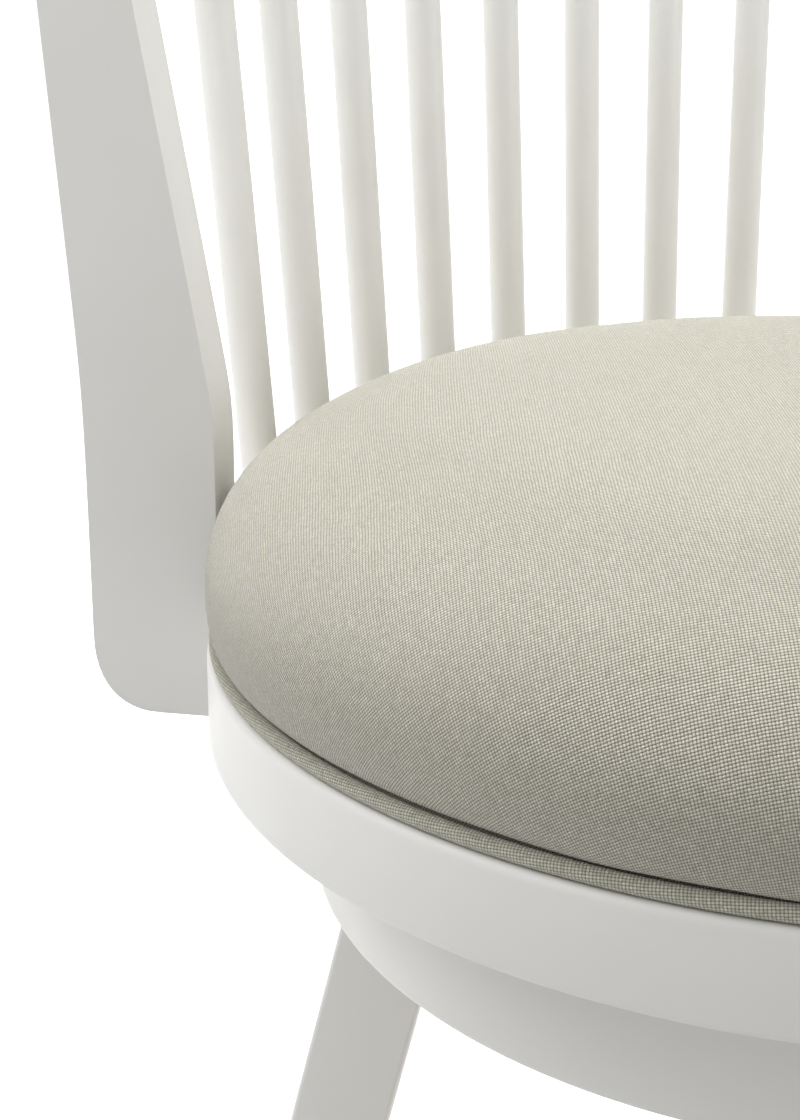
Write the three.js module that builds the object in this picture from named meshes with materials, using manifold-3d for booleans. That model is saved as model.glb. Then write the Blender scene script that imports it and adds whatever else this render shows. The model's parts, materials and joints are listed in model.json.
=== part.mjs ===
// Swivel counter stool: a round upholstered seat and spindle back that turn on a four-legged base.
// Millimetres, +Z up. The stool stands on z = 0 and faces -Y. Pieces are placed about the swivel
// axis, and the finished stool is moved along Y so that the middle of its outline is the origin.
// Bearings are in degrees from +Y (the back) towards +X.
import * as THREE from "three";
import { mergeVertices } from "three/addons/utils/BufferGeometryUtils.js";
import Module from "manifold-3d";

const wasm = await Module();
wasm.setup();

// Overall
const SEAT_RADIUS = 228.6; // outside of the seat ring
const BASE_RADIUS = 190.6; // outside of the base ring
const SEAT_HEIGHT = 536; // underside of the seat ring above the floor
const BACK_TOP = 1000; // top of the crest rail above the floor
const GAP = 0.3; // left between pieces that touch
const FACETS = 64; // around every large round piece, so that nested rounds stay parallel
const ROD_FACETS = 10; // around bolts, screws and their holes
const OVERCUT = 5; // how far a cutter runs past the surface that it opens

// Seat ring, boards and cushion
const SEAT_RING_HEIGHT = 33.3;
const SEAT_RING_WALL = 28;
const SEAT_BOARD_THICKNESS = 18;
const CUSHION_BOARD_THICKNESS = 12;
const CUSHION_BOARD_INSET = 6.9; // board edge inside the seat ring's outer face
const WELT_RADIUS = 2.6;
const WELT_INSET = 0.7;
const CUSHION_BULGE = 2.5; // furthest swell past the seat ring
const CUSHION_BULGE_HEIGHT = 26; // of that swell above the seat ring
const CUSHION_DOME = 65; // crown above the widest line
const CUSHION_DOME_POWER = 0.483; // of a cosine; the smaller, the flatter the crown
const CUSHION_DOME_STEP = 13; // degrees between the rings of the dome
const CUSHION_TUCK = 3; // how far the cover draws in above the welt
const CUSHION_SKIRT = 8; // thickness of the cover and foam beside the board
const CUSHION_DENT = 1; // room left around each post that presses into the cushion

// Back
const BACK_RAKE = 0.0987; // outward slope of the spindles
const SPINDLE_RADIUS = 8;
const SPINDLE_COUNT = 8;
const SPINDLE_STEP = 8.484; // degrees between spindles
const SPINDLE_OFFSET = 23.8; // spindle circle outside the seat ring, at the ring's top
const SPINDLE_TENON = 22; // length held in each rail
const SPINDLE_FACETS = 16;
const LOWER_RAIL_WIDTH = 37.4;
const CREST_HEIGHT = 62;
const CREST_THICKNESS = 27;
const CREST_ROUNDING = 6;
const CREST_OVERHANG = 5.2; // degrees past the middle of each post
const POST_BEARING = 50;
const POST_THICKNESS = 27;
const POST_FOOT_WIDTH = 50;
const POST_NECK_WIDTH = 25;
const POST_NECK_HEIGHT = 335; // above the seat ring's underside, where the neck begins
const POST_FOOT_DROP = 14; // foot below the seat ring's underside
const POST_HEEL_RISE = 34; // height of the heel's rounding
const POST_INNER_BEND = 0.3; // height of the inner edge's bend, as a share of the neck's
const POST_OUTER_BEND = 0.34; // and of the outer edge's
const POST_EASING = 3;
const POST_TENON = 20;
const POST_TENON_ROOT = 10; // part of the tenon's block that lies inside the post
const POST_TENON_SIZE = 14;

// Base
const BASE_RING_HEIGHT = 46.2;
const BASE_RING_WALL = 16;
const BASE_BOARD_THICKNESS = 15;
const RING_ROUNDING = 3;
const LEG_WIDTH = 39.2; // measured level
const LEG_THICKNESS = 27;
const LEG_SPLAY = 0.2345; // outward run for each unit of drop
const LEG_EASING = 2;
const STRETCHER_HEIGHT = 172; // underside above the floor
const STRETCHER_DEPTH = 36;
const STRETCHER_THICKNESS = 20;
const STRETCHER_ROUNDING = 4;
const STRETCHER_INSET = 3; // from the middle of the leg boards, inwards
const PEG_RADIUS = 5;
const PEG_LENGTH = 10;
const KICK_PLATE_THICKNESS = 1.2;
const KICK_PLATE_LIP = 14;
const KICK_PLATE_HALF_ANGLE = 32;
const GLIDE_RADIUS = 11;
const GLIDE_THICKNESS = 5;

// Swivel bearing
const SWIVEL_HEIGHT = 9; // between the base board and the seat board
const SWIVEL_PLATE = 150;
const SWIVEL_PLATE_THICKNESS = 1.5;
const SWIVEL_SCREW_INSET = 12;
const BALL_CIRCLE = 60;
const BALL_RADIUS = 2.5;
const BALL_COUNT = 12;
const EYELET_RADIUS = 15;
const EYELET_WALL = 2;
const EYELET_FLANGE = 6;
const EYELET_FACETS = 20;
const CAGE_FACETS = 36;
const BOARD_HOLE_RADIUS = 30;
const BOARD_HOLE_FACETS = 24;

// Fasteners
const BOLT = { shank: 3, head: 5, headHeight: 4 };
const SCREW = { shank: 1.9, head: 3.6, headHeight: 1.5 };
const POST_BOLT_REACH = 22; // into the seat ring
const POST_BOLT_HEIGHTS = [0.27 * SEAT_RING_HEIGHT, 0.72 * SEAT_RING_HEIGHT];
const BOLT_RECESS = 1; // bolt head below the surface
const LEG_BOLT_REACH = 24;
const RAIL_SCREW_REACH = 20;
const CUSHION_SCREW_CIRCLE = 150;
const CUSHION_SCREW_REACH = 9;
const SWIVEL_SCREW_REACH = 11;
const KICK_SCREW_REACH = 12;
const KICK_SCREW_BEARING = 0.8 * KICK_PLATE_HALF_ANGLE; // either side of the front

const seatTop = SEAT_HEIGHT + SEAT_RING_HEIGHT;
const baseTop = SEAT_HEIGHT - SWIVEL_HEIGHT;
const baseBottom = baseTop - BASE_RING_HEIGHT;
const crestBottom = BACK_TOP - CREST_HEIGHT;
const postFace = SEAT_RADIUS + GAP;
const railScrewBearing = SPINDLE_STEP * (SPINDLE_COUNT / 2 - 1); // between the last two spindles
const baseBore = BASE_RADIUS - BASE_RING_WALL;
const legHeadOuter = Math.sqrt(baseBore ** 2 - (LEG_THICKNESS / 2) ** 2) - 2 * GAP;
const legBearings = {
  rear_left: -POST_BEARING,
  rear_right: POST_BEARING,
  front_right: 180 - POST_BEARING,
  front_left: 180 + POST_BEARING,
};

const paint = new THREE.MeshStandardMaterial({ color: "#e3e2de", roughness: 0.45, metalness: 0 });
const plywood = new THREE.MeshStandardMaterial({ color: "#b9935f", roughness: 0.7, metalness: 0 });
const fabric = new THREE.MeshStandardMaterial({ color: "#c3bfae", roughness: 0.95, metalness: 0 });
const weltFabric = new THREE.MeshStandardMaterial({ color: "#9b9884", roughness: 0.95, metalness: 0 });
const zinc = new THREE.MeshStandardMaterial({ color: "#9a9c9e", roughness: 0.4, metalness: 1 });
const steel = new THREE.MeshStandardMaterial({ color: "#b4b2ad", roughness: 0.3, metalness: 1 });
const nylon = new THREE.MeshStandardMaterial({ color: "#d9d8d2", roughness: 0.5, metalness: 0 });

const stool = new THREE.Group();
const base = new THREE.Group();
const seat = new THREE.Group();
stool.add(base, seat);

function addPiece(parent, name, geometry, material) {
  const mesh = new THREE.Mesh(geometry, material);
  mesh.name = name;
  parent.add(mesh);
  return mesh;
}

// Spindle circle's radius at a height above the floor.
function rakedRadius(height) {
  return SEAT_RADIUS + SPINDLE_OFFSET + BACK_RAKE * (height - seatTop);
}

function degrees(angle) {
  return THREE.MathUtils.degToRad(angle);
}

// Turns a closed geometry into a solid that can be cut and joined.
function toSolid(geometry) {
  const plain = geometry.clone();
  plain.deleteAttribute("normal");
  plain.deleteAttribute("uv");
  const merged = mergeVertices(plain, 1e-4);
  const index = merged.index.array;
  const corners = [];
  for (let i = 0; i < index.length; i += 3) {
    const [a, b, c] = [index[i], index[i + 1], index[i + 2]];
    if (a !== b && b !== c && c !== a) corners.push(a, b, c);
  }
  return new wasm.Manifold(new wasm.Mesh({
    numProp: 3,
    vertProperties: new Float32Array(merged.attributes.position.array),
    triVerts: new Uint32Array(corners),
  }));
}

function toGeometry(solid) {
  const mesh = solid.getMesh();
  const geometry = new THREE.BufferGeometry();
  geometry.setAttribute("position", new THREE.BufferAttribute(mesh.vertProperties, 3));
  geometry.setIndex(new THREE.BufferAttribute(mesh.triVerts, 1));
  return geometry;
}

// Cuts a list of geometries away from one geometry.
function cut(geometry, cutters) {
  const solid = cutters.reduce((rest, cutter) => rest.subtract(toSolid(cutter)), toSolid(geometry));
  return toGeometry(solid);
}

// A solid of revolution about Z, from a profile of [radius, height] going up its outer side.
function revolve(profile, segments = FACETS) {
  const points = profile.map(([radius, height]) => new THREE.Vector2(radius, height));
  return new THREE.LatheGeometry(points, segments).rotateX(Math.PI / 2);
}

// Corner points of a rectangle from (r0, z0) to (r1, z1) with rounded corners, closed on itself.
function roundedProfile(r0, z0, r1, z1, radius, lean = 0) {
  const corners = [
    [r1 - radius, z0 + radius, -90],
    [r1 - radius, z1 - radius, 0],
    [r0 + radius, z1 - radius, 90],
    [r0 + radius, z0 + radius, 180],
  ];
  const points = [];
  for (const [r, z, start] of corners) {
    for (const turn of [0, 90]) {
      const angle = degrees(start + turn);
      const height = z + radius * Math.sin(angle);
      points.push([r + radius * Math.cos(angle) + lean * (height - z0), height]);
    }
  }
  points.push(points[0]);
  return points;
}

// A block covering the space between two upright planes through the axis, each moved inwards.
function wedge(from, to, inset, z0, z1) {
  const reach = 2 * rakedRadius(BACK_TOP);
  const half = degrees((to - from) / 2);
  const direction = (angle) => new THREE.Vector2(Math.sin(angle), Math.cos(angle));
  const apex = direction(0).multiplyScalar(inset / Math.sin(half));
  const far = (angle) => direction(angle).multiplyScalar(reach).add(apex);
  const outline = new THREE.Shape([apex, far(half), far(0).multiplyScalar(1.3), far(-half)]);
  const block = new THREE.ExtrudeGeometry(outline, { depth: z1 - z0, bevelEnabled: false });
  return block.translate(0, 0, z0).rotateZ(-degrees((from + to) / 2));
}

function arcPiece(profile, from, to, inset) {
  const heights = profile.map((point) => point[1]);
  const low = Math.min(...heights) - OVERCUT;
  const high = Math.max(...heights) + OVERCUT;
  const block = wedge(from, to, inset, low, high);
  return toGeometry(toSolid(revolve(profile)).intersect(toSolid(block)));
}

// A rod along +X from x0 to x1, at a height, before it is turned to its bearing.
function radialRod(radius, x0, x1, height) {
  const rod = new THREE.CylinderGeometry(radius, radius, x1 - x0, ROD_FACETS).rotateZ(-Math.PI / 2);
  return rod.translate((x0 + x1) / 2, 0, height);
}

function uprightRod(radius, z0, z1, x = 0, y = 0, segments = ROD_FACETS) {
  const rod = new THREE.CylinderGeometry(radius, radius, z1 - z0, segments).rotateX(Math.PI / 2);
  return rod.translate(x, y, (z0 + z1) / 2);
}

// Turns a geometry drawn along +X to a bearing.
function turnTo(geometry, bearing) {
  return geometry.rotateZ(degrees(90 - bearing));
}

// A headed fastener standing on the origin's axis: head's underside at 0, shank up to reach.
function fastener(size, reach) {
  const profile = [
    [0, -size.headHeight],
    [size.head * 0.85, -size.headHeight],
    [size.head, 0],
    [size.shank, 0],
    [size.shank, reach - size.shank],
    [0, reach],
  ];
  return revolve(profile, ROD_FACETS);
}

// ---- Seat -------------------------------------------------------------------------------------

// Bolts that hold each post to the seat ring enter at the post's outer edge.
const postBolt = {
  head: postFace + POST_FOOT_WIDTH - BOLT.headHeight - BOLT_RECESS,
  tip: SEAT_RADIUS - POST_BOLT_REACH,
};

function seatRing() {
  const inner = SEAT_RADIUS - SEAT_RING_WALL;
  const ring = revolve(roundedProfile(inner, SEAT_HEIGHT, SEAT_RADIUS, seatTop, RING_ROUNDING));
  const holes = [];
  for (const side of [-1, 1]) {
    for (const height of POST_BOLT_HEIGHTS) {
      const level = SEAT_HEIGHT + height;
      const hole = radialRod(BOLT.shank + GAP, postBolt.tip - GAP, SEAT_RADIUS + OVERCUT, level);
      holes.push(turnTo(hole, side * POST_BEARING));
    }
    const ends = [inner - OVERCUT, SEAT_RADIUS + OVERCUT];
    const hole = radialRod(SCREW.shank + GAP, ...ends, railScrewHeight());
    holes.push(turnTo(hole, side * railScrewBearing));
  }
  return cut(ring, holes);
}

function railScrewHeight() {
  return (SEAT_HEIGHT + SEAT_BOARD_THICKNESS + seatTop) / 2;
}

function seatBoard() {
  const radius = SEAT_RADIUS - SEAT_RING_WALL - GAP;
  const top = SEAT_HEIGHT + SEAT_BOARD_THICKNESS;
  const board = uprightRod(radius, SEAT_HEIGHT, top, 0, 0, FACETS);
  const under = SEAT_HEIGHT - OVERCUT;
  const over = top + OVERCUT;
  const holes = [uprightRod(BOARD_HOLE_RADIUS, under, over, 0, 0, BOARD_HOLE_FACETS)];
  for (const [x, y] of cushionScrewPlaces()) {
    holes.push(uprightRod(SCREW.shank + GAP, under, over, x, y));
  }
  const pilotTop = SEAT_HEIGHT + SWIVEL_SCREW_REACH + GAP;
  for (const [x, y] of swivelScrewPlaces()) {
    holes.push(uprightRod(SCREW.shank + GAP, under, pilotTop, x, y));
  }
  return cut(board, holes);
}

function cushionScrewPlaces() {
  return [0, 120, 240].map((bearing) => {
    const angle = degrees(bearing);
    return [CUSHION_SCREW_CIRCLE * Math.sin(angle), CUSHION_SCREW_CIRCLE * Math.cos(angle)];
  });
}

function swivelScrewPlaces() {
  const offset = SWIVEL_PLATE / 2 - SWIVEL_SCREW_INSET;
  return [[offset, offset], [-offset, offset], [-offset, -offset], [offset, -offset]];
}

const cushionBoardRadius = SEAT_RADIUS - CUSHION_BOARD_INSET;
const cushionBoardBottom = seatTop + GAP;
const cushionBoardTop = cushionBoardBottom + CUSHION_BOARD_THICKNESS;

function cushionBoard() {
  const board = uprightRod(cushionBoardRadius, cushionBoardBottom, cushionBoardTop, 0, 0, FACETS);
  const depth = cushionBoardBottom + CUSHION_SCREW_REACH + GAP;
  const holes = cushionScrewPlaces().map(([x, y]) =>
    uprightRod(SCREW.shank + GAP, cushionBoardBottom - OVERCUT, depth, x, y));
  return cut(board, holes);
}

// The cushion caps its board: a tight skirt beside the board and a flattened dome above it.
const cushionRadius = SEAT_RADIUS + CUSHION_BULGE;

function cushion() {
  const rimTop = cushionBoardTop + GAP;
  const rimBottom = cushionBoardBottom + 2 * WELT_RADIUS + GAP;
  const innerRadius = cushionBoardRadius + GAP;
  const widest = seatTop + CUSHION_BULGE_HEIGHT;
  const footRadius = Math.min(innerRadius + CUSHION_SKIRT, cushionRadius) - CUSHION_TUCK;
  const profile = [
    [0, rimTop],
    [innerRadius, rimTop],
    [innerRadius, rimBottom],
    [footRadius, rimBottom],
  ];
  for (const turn of [30, 60, 90]) {
    const angle = degrees(turn);
    const radius = footRadius + (cushionRadius - footRadius) * Math.sin(angle);
    profile.push([radius, widest - (widest - rimBottom) * Math.cos(angle)]);
  }
  for (let turn = CUSHION_DOME_STEP - 1; turn < 90; turn += CUSHION_DOME_STEP) {
    const angle = degrees(turn);
    const radius = cushionRadius * Math.cos(angle) ** CUSHION_DOME_POWER;
    profile.push([radius, widest + CUSHION_DOME * Math.sin(angle)]);
  }
  profile.push([0, widest + CUSHION_DOME]);
  const depth = 2 * CUSHION_SKIRT;
  const dents = [-POST_BEARING, POST_BEARING].map((bearing) => {
    const block = new THREE.BoxGeometry(depth, POST_THICKNESS + 2 * CUSHION_DENT, 2 * CUSHION_DOME);
    block.translate(postFace - CUSHION_DENT + depth / 2, 0, widest);
    return turnTo(block, bearing);
  });
  return cut(revolve(profile), dents);
}

function welt() {
  const circle = SEAT_RADIUS - WELT_INSET - WELT_RADIUS;
  const ring = new THREE.TorusGeometry(circle, WELT_RADIUS, 6, FACETS);
  return ring.translate(0, 0, seatTop + GAP + WELT_RADIUS);
}

// ---- Back -------------------------------------------------------------------------------------

// One spindle, or the socket that takes it when it is made wider and longer.
function spindle(bearing, clearance = 0) {
  const bottom = seatTop - SPINDLE_TENON - clearance;
  const top = crestBottom + SPINDLE_TENON + clearance;
  const lean = Math.atan(BACK_RAKE);
  const length = (top - bottom) / Math.cos(lean);
  const radius = SPINDLE_RADIUS + clearance;
  const rod = new THREE.CylinderGeometry(radius, radius, length, SPINDLE_FACETS);
  rod.rotateX(Math.PI / 2);
  rod.rotateY(lean);
  const middle = (top + bottom) / 2;
  return turnTo(rod.translate(rakedRadius(middle), 0, middle), bearing);
}

function spindleBearings() {
  const first = -SPINDLE_STEP * (SPINDLE_COUNT - 1) / 2;
  return Array.from({ length: SPINDLE_COUNT }, (_, i) => first + i * SPINDLE_STEP);
}

// The rail under the spindles lies against the seat ring and ends on the two posts' wide faces.
function lowerRail() {
  const outer = postFace + LOWER_RAIL_WIDTH;
  const profile = roundedProfile(postFace, SEAT_HEIGHT, outer, seatTop, RING_ROUNDING);
  const rail = arcPiece(profile, -POST_BEARING, POST_BEARING, POST_THICKNESS / 2 + GAP);
  const sockets = spindleBearings().map((bearing) => spindle(bearing, GAP));
  const tip = SEAT_RADIUS + RAIL_SCREW_REACH + GAP;
  for (const side of [-1, 1]) {
    const hole = radialRod(SCREW.shank + GAP, SEAT_RADIUS - OVERCUT, tip, railScrewHeight());
    sockets.push(turnTo(hole, side * railScrewBearing));
  }
  return cut(rail, sockets);
}

function postTenon(clearance = 0) {
  const side = POST_TENON_SIZE + 2 * clearance;
  const height = POST_TENON + POST_TENON_ROOT + clearance;
  const tip = crestBottom + POST_TENON + clearance;
  const block = new THREE.BoxGeometry(side, side, height);
  return block.translate(rakedRadius(crestBottom), 0, tip - height / 2);
}

function crestRail() {
  const middle = rakedRadius(crestBottom);
  const inner = middle - CREST_THICKNESS / 2;
  const outer = middle + CREST_THICKNESS / 2;
  const profile = roundedProfile(inner, crestBottom, outer, BACK_TOP, CREST_ROUNDING, BACK_RAKE);
  const end = POST_BEARING + CREST_OVERHANG;
  const rail = arcPiece(profile, -end, end, 0);
  const sockets = spindleBearings().map((bearing) => spindle(bearing, GAP));
  for (const side of [-1, 1]) sockets.push(turnTo(postTenon(GAP), side * POST_BEARING));
  return cut(rail, sockets);
}

// A post is a flat board standing in an upright plane through the swivel axis: a broad foot with
// a rounded heel beside the seat ring, and a neck that follows the spindles to the crest rail.
function postOutline() {
  const foot = POST_FOOT_WIDTH;
  const drop = -POST_FOOT_DROP;
  const cornerRise = 1.8; // of the foot's inner corner above its lowest line
  const top = crestBottom - GAP - SEAT_HEIGHT;
  const neck = Math.min(POST_NECK_HEIGHT, top - POST_TENON);
  const neckIn = rakedRadius(SEAT_HEIGHT + neck) - POST_NECK_WIDTH / 2 - postFace;
  const neckOut = neckIn + POST_NECK_WIDTH;
  const topIn = rakedRadius(SEAT_HEIGHT + top) - POST_NECK_WIDTH / 2 - postFace;
  const innerBend = neck * POST_INNER_BEND;
  const outerBend = neck * POST_OUTER_BEND;
  const ease = 30; // below each bend, where its curve begins
  const sweep = 42; // below the neck, where the sloping edges aim
  const outline = new THREE.Shape();
  outline.moveTo(0, drop + cornerRise);
  outline.lineTo(foot * 0.46, drop);
  outline.bezierCurveTo(foot * 0.78, drop, foot, drop + 10, foot, drop + POST_HEEL_RISE);
  outline.lineTo(foot, outerBend - ease);
  outline.quadraticCurveTo(foot, outerBend - 5, foot + 1.4, outerBend + 14);
  outline.quadraticCurveTo(neckOut - 3.3, neck - sweep, neckOut, neck);
  outline.lineTo(topIn + POST_NECK_WIDTH, top);
  outline.lineTo(topIn, top);
  outline.lineTo(neckIn, neck);
  outline.quadraticCurveTo(neckIn - 6.2, neck - sweep, neckIn - 13.6, neck - 2 * sweep);
  outline.lineTo(8.1, innerBend + 43);
  outline.quadraticCurveTo(0, innerBend - 3, 0, innerBend - ease);
  outline.closePath();
  return outline;
}

function post(bearing) {
  const board = new THREE.ExtrudeGeometry(postOutline(), {
    depth: POST_THICKNESS - 2 * POST_EASING,
    bevelThickness: POST_EASING,
    bevelSize: POST_EASING,
    bevelOffset: -POST_EASING,
    bevelSegments: 2,
    curveSegments: 6,
  });
  board.translate(postFace, SEAT_HEIGHT, POST_EASING - POST_THICKNESS / 2).rotateX(Math.PI / 2);
  const holes = [];
  for (const height of POST_BOLT_HEIGHTS) {
    const level = SEAT_HEIGHT + height;
    const edge = postFace + POST_FOOT_WIDTH + OVERCUT;
    holes.push(radialRod(BOLT.shank + GAP, SEAT_RADIUS - OVERCUT, edge, level));
    holes.push(radialRod(BOLT.head + GAP, postBolt.head - GAP, edge, level));
  }
  const solid = toSolid(board).add(toSolid(postTenon()));
  return turnTo(cut(toGeometry(solid), holes), bearing);
}

addPiece(seat, "seat_ring", seatRing(), paint);
addPiece(seat, "seat_board", seatBoard(), plywood);
addPiece(seat, "cushion_board", cushionBoard(), plywood);
addPiece(seat, "cushion", cushion(), fabric);
addPiece(seat, "cushion_welt", welt(), weltFabric);
addPiece(seat, "lower_back_rail", lowerRail(), paint);
addPiece(seat, "crest_rail", crestRail(), paint);
spindleBearings().forEach((bearing, i) => addPiece(seat, `spindle_${i + 1}`, spindle(bearing), paint));

for (const [side, bearing] of [["left", -POST_BEARING], ["right", POST_BEARING]]) {
  addPiece(seat, `back_post_${side}`, post(bearing), paint);
  POST_BOLT_HEIGHTS.forEach((height, i) => {
    const bolt = fastener(BOLT, postBolt.head - postBolt.tip).rotateY(-Math.PI / 2);
    bolt.translate(postBolt.head, 0, SEAT_HEIGHT + height);
    addPiece(seat, `post_bolt_${side}_${i + 1}`, turnTo(bolt, bearing), steel);
  });
  const boreFlat = (SEAT_RADIUS - SEAT_RING_WALL) * Math.cos(Math.PI / FACETS);
  const head = boreFlat - GAP;
  const screw = fastener(SCREW, SEAT_RADIUS + RAIL_SCREW_REACH - head).rotateY(Math.PI / 2);
  screw.translate(head, 0, railScrewHeight());
  addPiece(seat, `rail_screw_${side}`, turnTo(screw, Math.sign(bearing) * railScrewBearing), zinc);
}

cushionScrewPlaces().forEach(([x, y], i) => {
  const under = SEAT_HEIGHT - GAP;
  const screw = fastener(SCREW, cushionBoardBottom + CUSHION_SCREW_REACH - under);
  addPiece(seat, `cushion_screw_${i + 1}`, screw.translate(x, y, under), zinc);
});

// ---- Swivel bearing ---------------------------------------------------------------------------

const topPlate = SEAT_HEIGHT - GAP - SWIVEL_PLATE_THICKNESS;
const bottomPlate = baseTop + GAP;

function swivelPlate(bottom) {
  const plate = new THREE.BoxGeometry(SWIVEL_PLATE, SWIVEL_PLATE, SWIVEL_PLATE_THICKNESS);
  plate.translate(0, 0, bottom + SWIVEL_PLATE_THICKNESS / 2);
  const under = bottom - OVERCUT;
  const over = bottom + SWIVEL_PLATE_THICKNESS + OVERCUT;
  const holes = [uprightRod(EYELET_RADIUS + GAP, under, over, 0, 0, EYELET_FACETS)];
  for (const [x, y] of swivelScrewPlaces()) {
    holes.push(uprightRod(SCREW.shank + GAP, under, over, x, y));
  }
  return cut(plate, holes);
}

// A flanged tube clamps the two plates face to face and is the pin that they turn on.
function swivelEyelet() {
  const low = bottomPlate - GAP;
  const high = topPlate + SWIVEL_PLATE_THICKNESS + GAP;
  const flange = EYELET_RADIUS + EYELET_FLANGE;
  const inner = EYELET_RADIUS - EYELET_WALL;
  return revolve([
    [inner, low - EYELET_WALL],
    [flange, low - EYELET_WALL],
    [flange, low],
    [EYELET_RADIUS, low],
    [EYELET_RADIUS, high],
    [flange, high],
    [flange, high + EYELET_WALL],
    [inner, high + EYELET_WALL],
    [inner, low - EYELET_WALL],
  ], EYELET_FACETS);
}

// The ball cage is a thin ring that keeps the balls apart between the plates.
function ballCage() {
  const middle = (topPlate + bottomPlate + SWIVEL_PLATE_THICKNESS) / 2;
  const half = BALL_RADIUS * 0.3; // of the cage's thickness
  const side = BALL_RADIUS * 1.3; // of the cage's width
  const inner = BALL_CIRCLE - side;
  const outer = BALL_CIRCLE + side;
  let cage = toSolid(revolve([
    [inner, middle - half],
    [outer, middle - half],
    [outer, middle + half],
    [inner, middle + half],
    [inner, middle - half],
  ], CAGE_FACETS));
  for (let i = 0; i < BALL_COUNT; i += 1) {
    const ball = new THREE.SphereGeometry(BALL_RADIUS, 6, 4).rotateX(Math.PI / 2);
    cage = cage.add(toSolid(turnTo(ball.translate(BALL_CIRCLE, 0, middle), i * 360 / BALL_COUNT)));
  }
  return toGeometry(cage);
}

addPiece(seat, "swivel_top_plate", swivelPlate(topPlate), zinc);
addPiece(base, "swivel_bottom_plate", swivelPlate(bottomPlate), zinc);
addPiece(base, "swivel_eyelet", swivelEyelet(), zinc);
addPiece(stool, "ball_cage", ballCage(), steel);
swivelScrewPlaces().forEach(([x, y], i) => {
  const upReach = SEAT_HEIGHT + SWIVEL_SCREW_REACH - (topPlate - GAP);
  const up = fastener(SCREW, upReach).translate(x, y, topPlate - GAP);
  addPiece(seat, `swivel_top_screw_${i + 1}`, up, zinc);
  const headLevel = bottomPlate + SWIVEL_PLATE_THICKNESS + GAP;
  const down = fastener(SCREW, headLevel - baseTop + SWIVEL_SCREW_REACH).rotateX(Math.PI);
  addPiece(base, `swivel_bottom_screw_${i + 1}`, down.translate(x, y, headLevel), zinc);
});

// ---- Base -------------------------------------------------------------------------------------

const baseBoardBottom = baseTop - BASE_BOARD_THICKNESS;
const legHead = baseBoardBottom - GAP;
const legBoltCircle = legHeadOuter - LEG_WIDTH / 2;

function baseRing() {
  return revolve(roundedProfile(baseBore, baseBottom, BASE_RADIUS, baseTop, RING_ROUNDING));
}

function baseBoard() {
  const board = uprightRod(baseBore - GAP, baseBoardBottom, baseTop, 0, 0, FACETS);
  const under = baseBoardBottom - OVERCUT;
  const over = baseTop + OVERCUT;
  const holes = [uprightRod(BOARD_HOLE_RADIUS, under, over, 0, 0, BOARD_HOLE_FACETS)];
  const pilotFoot = baseTop - SWIVEL_SCREW_REACH - GAP;
  for (const [x, y] of swivelScrewPlaces()) {
    holes.push(uprightRod(SCREW.shank + GAP, pilotFoot, over, x, y));
  }
  for (const bearing of Object.values(legBearings)) {
    const hole = uprightRod(BOLT.shank + GAP, under, over, legBoltCircle);
    const recess = uprightRod(BOLT.head + GAP, legBoltHead() - GAP, over, legBoltCircle);
    holes.push(turnTo(hole, bearing), turnTo(recess, bearing));
  }
  return cut(board, holes);
}

function legBoltHead() {
  return baseTop - BOLT.headHeight - BOLT_RECESS;
}

// A leg's outer edge at a height: upright inside the base ring, splayed below it.
function legOuter(height) {
  return legHeadOuter + LEG_SPLAY * Math.max(baseBottom - height, 0);
}

function legOutline() {
  const foot = GLIDE_THICKNESS + GAP;
  return new THREE.Shape([
    new THREE.Vector2(legOuter(foot), foot),
    new THREE.Vector2(legOuter(baseBottom), baseBottom),
    new THREE.Vector2(legHeadOuter, legHead),
    new THREE.Vector2(legHeadOuter - LEG_WIDTH, legHead),
    new THREE.Vector2(legOuter(baseBottom) - LEG_WIDTH, baseBottom),
    new THREE.Vector2(legOuter(foot) - LEG_WIDTH, foot),
  ]);
}

const stretcherMiddle = STRETCHER_HEIGHT + STRETCHER_DEPTH / 2;
const stretcherRadius = legOuter(stretcherMiddle) - LEG_WIDTH / 2 - STRETCHER_INSET;

// A peg drawn across a leg that stands along +X, entering the wide face on one side.
function peg(side, clearance, start) {
  const tip = LEG_THICKNESS / 2 - PEG_LENGTH - clearance;
  const radius = PEG_RADIUS + clearance;
  const rod = new THREE.CylinderGeometry(radius, radius, start - tip, ROD_FACETS);
  return rod.translate(stretcherRadius, side * (start + tip) / 2, stretcherMiddle);
}

function leg(bearing) {
  const board = new THREE.ExtrudeGeometry(legOutline(), {
    depth: LEG_THICKNESS - 2 * LEG_EASING,
    bevelThickness: LEG_EASING,
    bevelSize: LEG_EASING,
    bevelOffset: -LEG_EASING,
    bevelSegments: 2,
  });
  board.translate(0, 0, LEG_EASING - LEG_THICKNESS / 2).rotateX(Math.PI / 2);
  const sockets = [-1, 1].map((side) => peg(side, GAP, LEG_THICKNESS / 2 + OVERCUT));
  const boltTip = legHead - LEG_BOLT_REACH;
  sockets.push(uprightRod(BOLT.shank + GAP, boltTip - GAP, legHead + OVERCUT, legBoltCircle));
  return turnTo(cut(board, sockets), bearing);
}

// A curved stretcher meets two legs square to their wide faces, with a peg turned on each end.
function stretcher(from, to) {
  const inner = stretcherRadius - STRETCHER_THICKNESS / 2;
  const outer = stretcherRadius + STRETCHER_THICKNESS / 2;
  const top = STRETCHER_HEIGHT + STRETCHER_DEPTH;
  const profile = roundedProfile(inner, STRETCHER_HEIGHT, outer, top, STRETCHER_ROUNDING);
  const arc = arcPiece(profile, from, to, LEG_THICKNESS / 2 + GAP);
  const start = LEG_THICKNESS / 2 + OVERCUT;
  const first = toSolid(turnTo(peg(-1, 0, start), from));
  const last = toSolid(turnTo(peg(1, 0, start), to));
  return toGeometry(toSolid(arc).add(first).add(last));
}

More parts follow.
